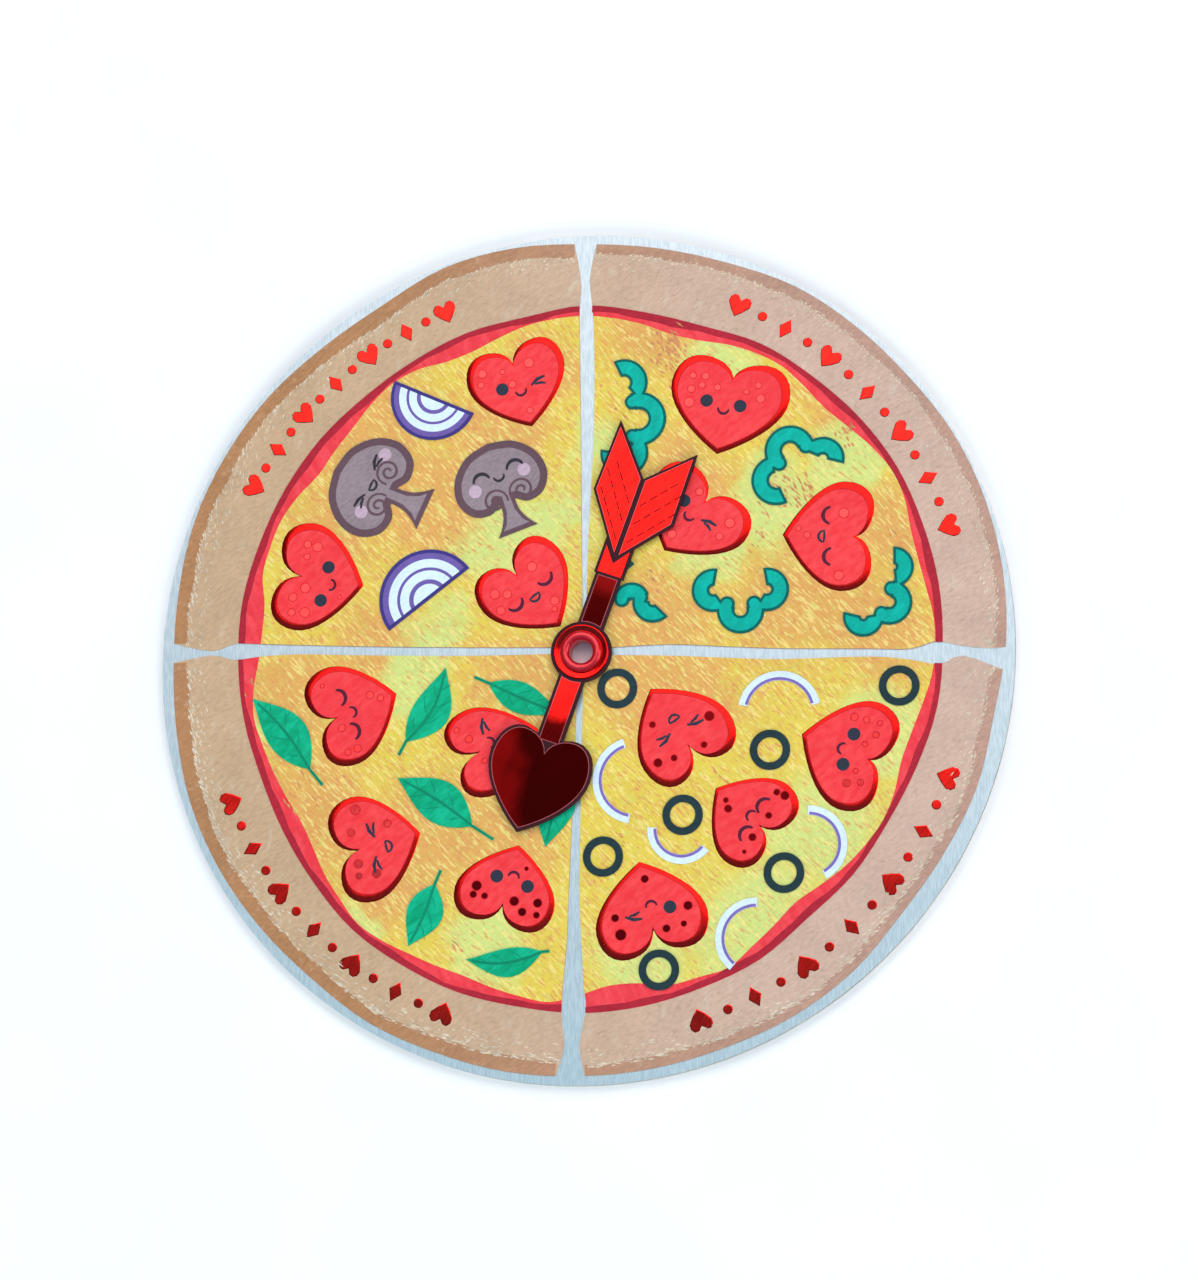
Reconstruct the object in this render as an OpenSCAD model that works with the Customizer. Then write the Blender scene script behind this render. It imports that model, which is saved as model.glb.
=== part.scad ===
// Round card game spinner. A foil-faced board carries four pizza wedges with thin raised
// toppings, and a foil-faced arrow turns freely on a metal eyelet at the board's centre.

/* [Board] */
// Diameter of the board
board_d = 150; // [150:1:170]
// Thickness of the white backing card
back_t = 0.5; // [0.5:0.1:1]
// Thickness of the stiff middle board
core_t = 1.1; // [0.8:0.1:2]
// Thickness of the silver foil sheet
foil_t = 0.2; // [0.1:0.05:0.3]

/* [Toppings] */
// Thickness of each crust wedge
crust_t = 0.1; // [0.05:0.01:0.15]
// Thickness of the sauce layer
sauce_t = 0.08; // [0.05:0.01:0.1]
// Thickness of the cheese layer
cheese_t = 0.08; // [0.05:0.01:0.1]
// Thickness of each raised topping
topping_t = 0.2; // [0.1:0.05:0.25]

/* [Eyelet] */
// Radius of the hole through the eyelet
bore_r = 2.05; // [1.8:0.05:2.1]
// Wall thickness of the eyelet's barrel
barrel_wall = 0.3; // [0.2:0.05:0.35]
// Outer radius of the eyelet's rounded top
flange_r = 3.7; // [3.4:0.1:4]
// Height of the rounded top
flange_h = 0.65; // [0.4:0.05:0.8]
// Radial clearance between barrel and arrow
running_gap = 0.08; // [0.03:0.01:0.1]

/* [Arrow] */
// Heading of the arrow's tail at rest, in degrees
arrow_turn = 70.5; // [0:0.5:359.5]
// Thickness of the arrow card
arrow_t = 0.6; // [0.4:0.1:0.8]
// Thickness of the foil facings
facing_t = 0.1; // [0.05:0.05:0.15]
// Width of the dark edge left around each facing
edge_w = 0.55; // [0.4:0.05:0.7]
// Radius of the arrow's round hub
hub_r = 5.35; // [5.2:0.05:5.8]

/* [Hidden] */
bore_facets = 96;
disc_facets = 180;
board_r = board_d / 2;
core_z = back_t;
foil_z = core_z + core_t;
crust_z = foil_z + foil_t;
sauce_z = crust_z + crust_t;
cheese_z = sauce_z + sauce_t;
topping_z = cheese_z + cheese_t;

barrel_r = bore_r + barrel_wall;
washer_t = 0.7;
washer_r = 4.5;
axial_play = 0.13;
arrow_z = crust_z + washer_t + axial_play;
facing_z = arrow_z + arrow_t;
flange_z = facing_z + facing_t + axial_play;
roll_r = 3.6;
table_gap = 0.08;
roll_h = back_t - table_gap;
back_hole_r = roll_r + 1;
wedge_hub_r = 4.8;
// How far a cut runs past the faces it passes through
over = 1;

// ---- Smooth lines -------------------------------------------------------------------------

// Point between b and c on a smooth line through a, b, c and d
function between(a, b, c, d, t) =
    0.5 * (2 * b + (c - a) * t + (2 * a - 5 * b + 4 * c - d) * t * t
    + (3 * b - a - 3 * c + d) * t * t * t);

// Smooth closed line through the points of p, with n steps between neighbours
function smooth_loop(p, n) =
    let (m = len(p))
    [for (i = [0:m - 1], k = [0:n - 1])
        between(p[(i + m - 1) % m], p[i], p[(i + 1) % m], p[(i + 2) % m], k / n)];

// Smooth open line through the points of p, with n steps between neighbours
function smooth_line(p, n) =
    let (last = len(p) - 1)
    [for (i = [0:last - 1], k = [0:i == last - 1 ? n : n - 1])
        between(p[max(i - 1, 0)], p[i], p[i + 1], p[min(i + 2, last)], k / n)];

// Cubic curve from a to d with handles b and c
function curve(a, b, c, d, n) =
    [for (k = [0:n]) let (t = k / n)
        pow(1 - t, 3) * a + 3 * pow(1 - t, 2) * t * b + 3 * (1 - t) * t * t * c + pow(t, 3) * d];

function reversed(p) = [for (i = [len(p) - 1:-1:0]) p[i]];
function without_first(p) = [for (i = [1:len(p) - 1]) p[i]];
function turned(p, angle) =
    [for (q = p) [q[0] * cos(angle) - q[1] * sin(angle), q[0] * sin(angle) + q[1] * cos(angle)]];

// Closed line given by its radius at even steps around the centre
function ring_of(radii) =
    let (n = len(radii))
    smooth_loop([for (i = [0:n - 1]) radii[i] * [cos(i * 360 / n), sin(i * 360 / n)]], 4);

module plate(outline, z, t) {
    translate([0, 0, z]) linear_extrude(height = t) polygon(outline);
}

module through_hole(r, z, t) {
    translate([0, 0, z - over]) cylinder(r = r, h = t + 2 * over, $fn = bore_facets);
}

module disc(r, z, t, hole_r) {
    difference() {
        translate([0, 0, z]) cylinder(r = r, h = t, $fn = disc_facets);
        through_hole(hole_r, z, t);
    }
}

// ---- Board --------------------------------------------------------------------------------

module back_cover() {
    color("white") disc(board_r, 0, back_t, back_hole_r);
}

module core_board() {
    color("tan") disc(board_r, core_z, core_t, barrel_r);
}

module foil_sheet() {
    color("lightsteelblue") disc(board_r, foil_z, foil_t, barrel_r);
}

// ---- Wedges -------------------------------------------------------------------------------

// Radius of the crust and of the sauce around the pizza, every 10 degrees from +X
crust_radii = [73.4, 74.1, 74.5, 74.6, 74.2, 74.3, 74.4, 73.6, 73.4, 73.5, 74.4, 74.6,
    73.4, 73.5, 74.2, 74.4, 74.3, 73.5, 73, 73.2, 73.7, 73.7, 73.4, 73.2,
    73.7, 73.5, 73.6, 73.4, 73.3, 73.2, 73.4, 73.1, 72.1, 72.2, 72.6, 72.3];
sauce_radii = [62.6, 62.9, 63, 63.3, 63.1, 62.7, 62.6, 61.5, 61.6, 62.3, 61.5, 61.8,
    61.5, 61.4, 61.7, 61.7, 61.6, 61.7, 61.3, 60.9, 60.4, 60.7, 61.3, 62.2,
    62.3, 62.5, 62.3, 62.6, 62.5, 62.2, 62.1, 61.1, 61.4, 61.2, 61.7, 62.5];
// Radius of the cheese, every 5 degrees from +X
cheese_radii = [61.3, 61.2, 60.6, 60.4, 60.8, 61.9, 62.2, 61.5, 60.5, 59.9, 60.4, 61,
    60.7, 59.9, 58.8, 58.6, 59.4, 60, 60.4, 60.3, 59.9, 59, 58.2, 58.4,
    59.7, 60.1, 59.5, 58.6, 58.2, 57.9, 58.9, 59.6, 59.5, 59.2, 57.6, 57.3,
    57.6, 58.6, 59.1, 58.5, 58, 57.5, 57.1, 57.7, 58.9, 59.8, 60.8, 60.6,
    60, 59.7, 59.5, 60, 60.5, 60.9, 59.5, 58.2, 58.5, 60, 60.3, 60.8,
    59.5, 58.5, 57.7, 58.4, 59.4, 60, 60.3, 59.8, 58.9, 59.1, 59.9, 60.9];

// The four gaps between wedges, from the right-hand one counterclockwise. Each has the line
// of its left side and of its right side, as [distance from the middle, offset to the left].
GAPS = [
    [[[3, 0.8], [15, 1.2], [25, 0.6], [35, 0], [50, -0.4], [57, -0.6], [61.5, 0.6], [66, -0.3],
        [72, -0.8], [80, 0.5]],
     [[3, -0.4], [15, -0.8], [25, -1.4], [35, -1.9], [50, -1.8], [57, -2.5], [62, -3.4], [66, -2],
        [73, -4.6], [80, -7]]],
    [[[3, 0], [20, 0.3], [35, 0.5], [50, 0.8], [62, 1], [66, 0.7], [73.5, 2], [80, 4]],
     [[3, -0.6], [20, -0.9], [35, -1.6], [50, -1.8], [61, -1.4], [67, -0.8], [73.5, -2], [80, -4]]],
    [[[3, 0], [20, 0], [40, -0.6], [50, -1], [57, -0.8], [62, -0.3], [66, -1.2], [73, 0], [80, 2]],
     [[3, -1.1], [20, -1.5], [40, -2.2], [57, -3], [62, -3.2], [66, -2], [73, -3.5], [80, -6]]],
    [[[3, 0.2], [20, 0], [40, -0.2], [50, 0.2], [58, 0.7], [62, 1.1], [68, 0], [73.5, 1], [80, 3]],
     [[3, -0.8], [20, -1.3], [40, -2], [50, -2.3], [62, -3.2], [68, -2.6], [73.5, -4.2], [80, -7]]],
];
WEDGES = ["upper_right", "upper_left", "lower_left", "lower_right"];
// Corner of a wedge outline, well outside the board
wedge_corner = [85, 85];

// Outline of the area between gap q and the next one, running past the crust
function wedge_outline(q) =
    concat(
        turned(smooth_line(GAPS[q][0], 3), 90 * q),
        turned([wedge_corner], 90 * q),
        turned(reversed(smooth_line(GAPS[(q + 1) % 4][1], 3)), 90 * (q + 1)));

module wedge_layer(q, radii, z, t) {
    difference() {
        intersection() {
            plate(ring_of(radii), z, t);
            plate(wedge_outline(q), z - over, t + 2 * over);
        }
        through_hole(wedge_hub_r, z, t);
    }
}

module crust(q) {
    color([0.8, 0.68, 0.57]) wedge_layer(q, crust_radii, crust_z, crust_t);
}

module sauce(q) {
    color([0.85, 0.2, 0.25]) wedge_layer(q, sauce_radii, sauce_z, sauce_t);
}

module cheese(q) {
    color([0.92, 0.8, 0.38]) wedge_layer(q, cheese_radii, cheese_z, cheese_t);
}

// ---- Toppings -----------------------------------------------------------------------------

// Right half of a heart with its point at the origin and its notch up +Y
function heart_side(w, h, notch) =
    concat(
        curve([0, 0], [0.2 * w, 0.13 * h], [0.5 * w, 0.4 * h], [0.5 * w, 0.67 * h], 10),
        without_first(
            curve([0.5 * w, 0.67 * h], [0.5 * w, 0.87 * h], [0.4 * w, h], [0.27 * w, h], 6)),
        without_first(
            curve([0.27 * w, h], [0.14 * w, h], [0.03 * w, 0.93 * h], [0, notch], 6)));
function heart_outline(w, h, notch) =
    let (side = heart_side(w, h, notch))
    concat(side, [for (i = [len(side) - 2:-1:1]) [-side[i][0], side[i][1]]]);

// Each heart: name, point, heading from point to notch, width, height, depth of the notch
HEARTS = [
    ["heart_winking", [-9.3, 40.7], 107, 17.8, 15.3, 12.1],
    ["heart_left", [-39, 13], 170, 19.4, 15.9, 11.6],
    ["heart_upper_hub", [-3.9, 4.8], 130, 17.3, 16.3, 12.3],
    ["heart_large", [23.5, 34.7], 78, 21.2, 17, 13.9],
    ["heart_under_tail", [14.3, 17.8], 49.5, 19.8, 14.8, 11.1],
    ["heart_right", [35, 20], -3, 19.4, 15.7, 12.9],
    ["heart_lower_hub", [12, -6.6], -56, 17.7, 16.9, 12.3],
    ["heart_lower_right", [38.3, -15.1], -22, 19.7, 15.7, 12.8],
    ["heart_small", [23.4, -24.2], -41, 17, 13.9, 10.4],
    ["heart_bottom_right", [10.2, -36.7], -78, 19.7, 16.2, 12.1],
    ["heart_lower_left", [-32.8, -6.4], -159, 18.2, 15.5, 11.6],
    ["heart_under_head", [-7.6, -13.2], -159, 16, 16, 11.2],
    ["heart_outer_left", [-28.2, -31], -165, 18.9, 15.5, 11.4],
    ["heart_bottom_left", [-10.8, -33.5], -105, 18, 14.3, 10.9],
];

module heart(h) {
    outline = turned(heart_outline(h[3], h[4], h[5]), h[2] - 90);
    color([0.95, 0.25, 0.25]) translate(h[1]) plate(outline, topping_z, topping_t);
}

// Each half onion: name, middle of its straight side, radius, heading of its round side
ONIONS = [
    ["onion_half_upper", [-26.8, 46.6], 7.8, -114],
    ["onion_half_lower", [-27.2, 10.2], 8.9, 127.5],
];

module onion_half(o) {
    outline = [for (a = [-90:5:90]) o[2] * [cos(a), sin(a)]];
    color([0.35, 0.3, 0.6]) translate(o[1]) rotate(o[3]) plate(outline, topping_z, topping_t);
}

// Half of the mushroom cap, from its top down the right side to the root of the stem, and
// the stem's right side below it. The stem runs down -Y.
CAP_SIDE = [[0, 8.9], [4.4, 7.8], [7.6, 4.6], [8.4, 0.6], [6.6, -2.6], [3.6, -3.4], [1.6, -2.2]];
STEM_SIDE = [[1.3, -1], [1.5, -4.2], [2.4, -6.3], [3.6, -7.9]];
// Each mushroom: name, middle of its cap, turn, scale
MUSHROOMS = [
    ["mushroom_left", [-35.9, 29.9], 66, 1.08],
    ["mushroom_right", [-14.2, 29.4], 20, 1],
];

module both_sides(side, z, t) {
    right = smooth_line(side, 5);
    left = [for (q = reversed(right)) if (q[0] > 0) [-q[0], q[1]]];
    plate(concat(right, left), z, t);
}

module mushroom(m) {
    color([0.5, 0.42, 0.44]) translate(m[1]) rotate(m[2])
        union() {
            both_sides(CAP_SIDE * m[3], topping_z, topping_t);
            both_sides(STEM_SIDE * m[3], topping_z, topping_t);
        }
}

// Flat band, w wide, bent around its middle
module arc_band(middle, r, start, sweep, w) {
    translate([middle[0], middle[1], topping_z]) rotate(start)
        rotate_extrude(angle = sweep, $fn = bore_facets)
            translate([r - w / 2, 0]) square([w, topping_t]);
}

pepper_w = 3.1;
// Radius of the discs that close the joints between a pepper ring's lobes
pepper_joint_r = pepper_w / 2 - 0.2;
// Each pepper ring: name, then its lobes as middle, radius, start angle and sweep
PEPPERS = [
    ["pepper_top",
        [[7, 48], 2.7, -50, 165], [[9.7, 41.4], 3.3, -110, 220], [[7.2, 35.4], 2.7, 170, 245]],
    ["pepper_middle",
        [[42, 33.3], 2.3, -15, 170], [[36.3, 34.9], 2.9, 15, 215], [[34, 29.7], 2.9, 100, 195]],
    ["pepper_lower",
        [[23, 10.5], 2.3, 80, 225], [[27.7, 6.9], 2.6, 155, 230], [[32.3, 10.4], 2.3, -125, 225]],
    ["pepper_right",
        [[54.2, 13.8], 2, -85, 175], [[53.5, 7.6], 2.4, -125, 205], [[49, 5.2], 2, 165, 205]],
    ["pepper_under_shaft",
        [[6.3, 13.2], 2.1, 40, 210], [[8.6, 9], 1.7, 20, 150], [[12.4, 8.7], 2.1, 165, 150]],
];

module pepper(p) {
    second = p[2];
    color([0.05, 0.62, 0.5]) union() {
        for (lobe = [for (i = [1:3]) p[i]])
            arc_band(lobe[0], lobe[1], lobe[2], lobe[3], pepper_w);
        for (a = [second[2], second[2] + second[3]])
            translate([second[0][0] + second[1] * cos(a), second[0][1] + second[1] * sin(a),
                       topping_z])
                cylinder(r = pepper_joint_r, h = topping_t, $fn = bore_facets);
    }
}

leaf_steps = 12;
// One edge of a leaf, from its base at the origin to its tip up +Y, bent sideways
function leaf_side(length, width, bend, side) =
    [for (k = [0:leaf_steps]) let (t = k / leaf_steps)
        [bend * sin(180 * t) + side * width / 2 * pow(sin(180 * pow(t, 0.85)), 1.1), length * t]];

// Each leaf: name, base, heading, length, width, bend, stem length
LEAVES = [
    ["leaf_centre", [-31, -15], 62, 14.7, 6.6, 1.5, 2.6],
    ["leaf_left", [-48, -19.5], 129.5, 16.5, 7.2, 0.8, 3.6],
    ["leaf_upper", [-16.5, -4.9], -24, 14, 5.4, 0.2, 2.7],
    ["leaf_middle", [-19, -30], 147, 15.9, 7.4, 0.5, 4.4],
    ["leaf_under_head", [-3, -20], -103, 14.2, 7, 0, 2],
    ["leaf_bottom_left", [-25.5, -40], 247, 11.6, 6.4, -0.4, 2.6],
    ["leaf_bottom", [-6.5, -52], 185, 13.4, 5, -1.3, 1.2],
];
stem_w = 0.5;

module leaf(l) {
    outline = concat(
        leaf_side(l[3], l[4], l[5], 1),
        reversed([for (q = leaf_side(l[3], l[4], l[5], -1)) if (q[1] > 0 && q[1] < l[3]) q]));
    color([0.08, 0.68, 0.48]) translate(l[1]) rotate(l[2] - 90)
        union() {
            plate(outline, topping_z, topping_t);
            translate([-stem_w / 2, -l[6], topping_z]) cube([stem_w, l[6] + 1, topping_t]);
        }
}

// Middle of each olive ring
OLIVES = [[6.2, -6.4], [55.1, -7], [32.8, -17.7], [17.7, -28.7], [3.9, -35.7], [35.2, -39],
    [13.7, -55.4]];
olive_r = 3.5;
olive_hole_r = 2.2;

module olives() {
    color([0.14, 0.22, 0.23]) for (c = OLIVES)
        translate(c) disc(olive_r, topping_z, topping_t, olive_hole_r);
}

// Each onion sliver: middle, radius, start angle and sweep
SLIVERS = [
    [[34.4, -11.2], 6.4, 12, 156],
    [[9.6, -22.5], 6.8, 108, 152],
    [[17.6, -31.2], 5.2, 176, 145],
    [[39.4, -34.2], 5.9, -62, 152],
    [[30.4, -50.2], 6.2, 88, 142],
];
sliver_w = 1.6;

module onion_slivers() {
    color([0.85, 0.9, 0.97]) for (s = SLIVERS)
        arc_band(s[0], s[1], s[2], s[3], sliver_w);
}

// ---- Eyelet and washer --------------------------------------------------------------------

// Half an oval from the inner radius to the outer one, standing h high
function bead(inner_r, outer_r, z, h) =
    [for (a = [180:-7.5:0])
        [(inner_r + outer_r) / 2 + (outer_r - inner_r) / 2 * cos(a), z + h * sin(a)]];

module eyelet() {
    profile = concat(
        bead(bore_r, flange_r, flange_z, flange_h),
        [[barrel_r, flange_z], [barrel_r, core_z]],
        reversed(bead(bore_r, roll_r, core_z, -roll_h)));
    color([0.75, 0.05, 0.08]) rotate_extrude($fn = bore_facets) polygon(profile);
}

module spacer_washer() {
    color("gainsboro") disc(washer_r, crust_z, washer_t, barrel_r);
}

// ---- Arrow --------------------------------------------------------------------------------
// Drawn with its tail along +X from the hub, then turned to its heading.

head_tip = 33.2;
head_w = 18.4;
head_h = 18;
head_notch = 14.2;
// How far the facing's point draws back from the card's, per millimetre of edge
tip_setback = 1.3;
shaft_w = 4.7;
shaft_start = -20;
front_facing_start = -16.6;
sleeve_w = 5.4;
sleeve_start = 14.4;
sleeve_end = 22.9;
sleeve_facing_end = 20.9;
vane_root = 16.9;
vane_notch = 32.2;
vane_edge_w = 0.8 * edge_w;
// Half width, at the sleeve's end, of the part of its facing that gives way to the vanes
vane_cut = 5;
hole_r = barrel_r + running_gap;

// Each vane of the V tail, clockwise from its root: corner, tip and notch
LEFT_VANE = [[vane_root, 0], [27.9, 7.8], [41, 7.4], [vane_notch, 0]];
RIGHT_VANE = [[vane_root, 0], [vane_notch, 0], [39.2, -7.6], [25.9, -7.8]];

function unit(v) = v / norm(v);
// Corner b of a clockwise outline, pulled inwards by d from its sides a-b and b-c
function inset_corner(a, b, c, d) =
    let (u = unit(b - a), v = unit(c - b), turn = u[0] * v[1] - u[1] * v[0])
    b + d / turn * (u - v);
function inset_outline(p, d) =
    let (n = len(p))
    [for (i = [0:n - 1]) inset_corner(p[(i + n - 1) % n], p[i], p[(i + 1) % n], d)];

module head_shape(inset, z, t) {
    outline = heart_outline(head_w - 2 * inset, head_h - 2 * inset, head_notch - inset);
    translate([inset * tip_setback - head_tip, 0, 0]) plate(turned(outline, -90), z, t);
}

module strip(x0, x1, w, z, t) {
    translate([x0, -w / 2, z]) cube([x1 - x0, w, t]);
}

module arrow_card() {
    color([0.2, 0.1, 0.12]) rotate(arrow_turn) difference() {
        union() {
            head_shape(0, arrow_z, arrow_t);
            strip(shaft_start, sleeve_start, shaft_w, arrow_z, arrow_t);
            strip(sleeve_start - edge_w / 2, sleeve_end, sleeve_w, arrow_z, arrow_t);
            plate(LEFT_VANE, arrow_z, arrow_t);
            plate(RIGHT_VANE, arrow_z, arrow_t);
            translate([0, 0, arrow_z]) cylinder(r = hub_r, h = arrow_t, $fn = bore_facets);
        }
        through_hole(hole_r, arrow_z, arrow_t);
    }
}

module head_facing() {
    color([0.3, 0, 0.02]) rotate(arrow_turn) head_shape(edge_w, facing_z, facing_t);
}

module facing_strip(x0, x1, w) {
    rotate(arrow_turn) difference() {
        strip(x0, x1, w - 2 * edge_w, facing_z, facing_t);
        through_hole(hub_r, facing_z, facing_t);
    }
}

module front_facing() {
    color([0.85, 0.1, 0.08]) facing_strip(front_facing_start, 0, shaft_w);
}

module rear_facing() {
    color([0.3, 0, 0.02]) facing_strip(0, sleeve_start - edge_w, shaft_w);
}

module sleeve_facing() {
    under_vanes = [[vane_root - edge_w, 0], [sleeve_end, vane_cut], [sleeve_end, -vane_cut]];
    color([0.95, 0.15, 0.12]) difference() {
        facing_strip(sleeve_start, sleeve_facing_end, sleeve_w);
        rotate(arrow_turn) plate(under_vanes, facing_z - over, facing_t + 2 * over);
    }
}

module left_vane() {
    color([1, 0.2, 0.16]) rotate(arrow_turn)
        plate(inset_outline(LEFT_VANE, vane_edge_w), facing_z, facing_t);
}

module right_vane() {
    color([0.95, 0.18, 0.15]) rotate(arrow_turn)
        plate(inset_outline(RIGHT_VANE, vane_edge_w), facing_z, facing_t);
}

module hub_facing() {
    color([0.85, 0.08, 0.08]) disc(hub_r - edge_w, facing_z, facing_t, hole_r);
}

// ---- Nodes --------------------------------------------------------------------------------

back_cover();
core_board();
foil_sheet();
for (q = [0:3]) crust(q);
for (q = [0:3]) sauce(q);
for (q = [0:3]) cheese(q);
for (h = HEARTS) heart(h);
for (o = ONIONS) onion_half(o);
for (m = MUSHROOMS) mushroom(m);
for (p = PEPPERS) pepper(p);
for (l = LEAVES) leaf(l);
olives();
onion_slivers();
eyelet();
spacer_washer();
arrow_card();
head_facing();
front_facing();
rear_facing();
sleeve_facing();
left_vane();
right_vane();
hub_facing();
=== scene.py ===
import math
import random
import bmesh
import bpy
from mathutils import Matrix, Vector


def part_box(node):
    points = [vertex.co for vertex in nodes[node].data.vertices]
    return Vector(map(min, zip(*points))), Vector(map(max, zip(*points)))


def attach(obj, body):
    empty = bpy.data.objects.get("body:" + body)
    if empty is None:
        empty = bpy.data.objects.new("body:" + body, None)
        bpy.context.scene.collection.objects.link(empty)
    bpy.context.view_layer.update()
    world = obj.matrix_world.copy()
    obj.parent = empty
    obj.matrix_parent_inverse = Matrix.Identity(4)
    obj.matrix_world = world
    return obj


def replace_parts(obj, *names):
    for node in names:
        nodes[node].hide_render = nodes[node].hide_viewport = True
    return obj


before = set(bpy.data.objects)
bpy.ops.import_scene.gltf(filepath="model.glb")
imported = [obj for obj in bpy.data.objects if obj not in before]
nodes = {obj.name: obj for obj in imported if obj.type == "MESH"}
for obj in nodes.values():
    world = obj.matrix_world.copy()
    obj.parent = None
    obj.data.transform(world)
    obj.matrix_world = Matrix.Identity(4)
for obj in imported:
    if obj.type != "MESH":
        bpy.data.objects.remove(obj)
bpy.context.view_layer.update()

# ---- Backing card and middle board --------------------------------------------------------
# The spinner is built up on two discs glued face to face: a smooth white card that lies on
# the table, and a stiff greyboard that shows only as a thin layered edge.

# One millimetre, in metres
MM = 0.001
scene = bpy.context.scene


def ink(red, green, blue):
    """Linear colour for a printed colour given as 0 to 255."""
    def channel(v):
        v = v / 255
        return v / 12.92 if v <= 0.04045 else ((v + 0.055) / 1.055) ** 2.4
    return (channel(red), channel(green), channel(blue), 1)


def add(tree, kind, inputs=None, **settings):
    """A new shader node with its settings made and its inputs filled or linked."""
    made = tree.nodes.new("ShaderNode" + kind)
    for key, value in settings.items():
        setattr(made, key, value)
    for key, value in (inputs or {}).items():
        if isinstance(value, bpy.types.NodeSocket):
            tree.links.new(value, made.inputs[key])
        else:
            made.inputs[key].default_value = value
    return made


def mix(tree, factor, first, second):
    """Colour between first and second."""
    return add(tree, "Mix", {0: factor, 6: first, 7: second}, data_type="RGBA").outputs[2]


def ramp(tree, value, low, high, to_low=0.0, to_high=1.0):
    """value carried smoothly from the range low..high to to_low..to_high."""
    return add(tree, "MapRange", {"Value": value, "From Min": low, "From Max": high,
                                  "To Min": to_low, "To Max": to_high},
               interpolation_type="SMOOTHSTEP").outputs[0]


def stretched_noise(tree, size, turn=0.0, stretch=1.0, detail=2.0):
    """Noise with features of that size in millimetres, stretched along the turned X axis."""
    place = add(tree, "TexCoord").outputs["Object"]
    turned = add(tree, "Mapping", {"Vector": place, "Rotation": (0, 0, math.radians(turn)),
                                   "Scale": (stretch, 1, 1)}, vector_type="TEXTURE").outputs[0]
    return add(tree, "TexNoise", {"Vector": turned, "Scale": 1 / (size * MM),
                                  "Detail": detail}).outputs["Fac"]


def effect(name, inputs, outputs):
    """An empty node group with its sockets: its tree, its inputs and its output node."""
    tree = bpy.data.node_groups.new(name, "ShaderNodeTree")
    kinds = {float: "NodeSocketFloat", tuple: "NodeSocketColor", Vector: "NodeSocketVector"}
    for label, value in inputs.items():
        made = tree.interface.new_socket(label, in_out="INPUT", socket_type=kinds[type(value)])
        made.default_value = value
    for label, kind in outputs.items():
        tree.interface.new_socket(label, in_out="OUTPUT", socket_type=kinds[kind])
    return tree, tree.nodes.new("NodeGroupInput").outputs, tree.nodes.new("NodeGroupOutput")


def use(tree, shared, inputs):
    """A shared effect placed in a material, ready to link its outputs."""
    made = tree.nodes.new("ShaderNodeGroup")
    made.node_tree = shared
    for key, value in inputs.items():
        if isinstance(value, bpy.types.NodeSocket):
            tree.links.new(value, made.inputs[key])
        else:
            made.inputs[key].default_value = value
    return made.outputs


def material(name):
    """A new material: itself, its tree and its Principled node."""
    made = bpy.data.materials.new(name)
    made.use_nodes = True
    return made, made.node_tree, made.node_tree.nodes["Principled BSDF"]


# Paper: cloudy tone, fine fibres and a faintly felted surface
paper, given, out = effect("Paper grain", {"Colour": (1, 1, 1, 1), "Strength": 1.0},
                           {"Colour": tuple, "Normal": Vector})
fibres = stretched_noise(paper, 0.45, 35, 2.5, 4)
clouds = stretched_noise(paper, 7, 0, 1, 3)
tone = add(paper, "Math", {0: ramp(paper, fibres, 0.3, 0.7, -0.09, 0.07),
                           1: ramp(paper, clouds, 0.3, 0.7, -0.05, 0.04)}, operation="ADD")
tone = add(paper, "Math", {0: tone.outputs[0], 1: given["Strength"], 2: 1.0},
           operation="MULTIPLY_ADD").outputs[0]
shaded = add(paper, "VectorMath", {0: given["Colour"]}, operation="SCALE")
paper.links.new(tone, shaded.inputs["Scale"])
paper.links.new(shaded.outputs[0], out.inputs["Colour"])
bump = add(paper, "Bump", {"Height": fibres, "Strength": 0.25, "Distance": 0.03 * MM})
paper.links.new(bump.outputs[0], out.inputs["Normal"])


def on_paper(tree, skin, colour, roughness, strength=1.0):
    """Finish a material as matt printed paper in that colour."""
    grain = use(tree, paper, {"Colour": colour, "Strength": strength})
    tree.links.new(grain["Colour"], skin.inputs["Base Color"])
    tree.links.new(grain["Normal"], skin.inputs["Normal"])
    skin.inputs["Roughness"].default_value = roughness
    skin.inputs["Specular IOR Level"].default_value = 0.12


def paper_material(name, colour, roughness, strength=1.0):
    """Printed paper in one ink colour."""
    made, tree, skin = material(name)
    on_paper(tree, skin, colour, roughness, strength)
    return made


def dress(names, surface):
    """Give the named CAD nodes one material."""
    for name in names:
        nodes[name].data.materials.clear()
        nodes[name].data.materials.append(surface)


white_card = paper_material("white_card", ink(236, 235, 230), 0.7)
dress(["back_cover"], white_card)

# Noise scale of the greyboard's plies, along its faces and through its thickness
PLY_SCALE = (120, 120, 9000)
grey_board, tree, skin = material("grey_board")
place = add(tree, "TexCoord").outputs["Object"]
layers = add(tree, "Mapping", {"Vector": place, "Scale": PLY_SCALE}).outputs[0]
plies = add(tree, "TexNoise", {"Vector": layers, "Scale": 1.0, "Detail": 3.0}).outputs["Fac"]
pulp = mix(tree, ramp(tree, plies, 0.3, 0.7), ink(150, 142, 132), ink(196, 190, 180))
on_paper(tree, skin, pulp, 0.9, 1.5)
dress(["core_board"], grey_board)

# ---- Silver foil sheet --------------------------------------------------------------------
# A sheet of matt silver foil card covers the board's face. It shows as the rim and as the
# four pale gaps between the wedges, with fine rolling lines that blur what it mirrors.

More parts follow.
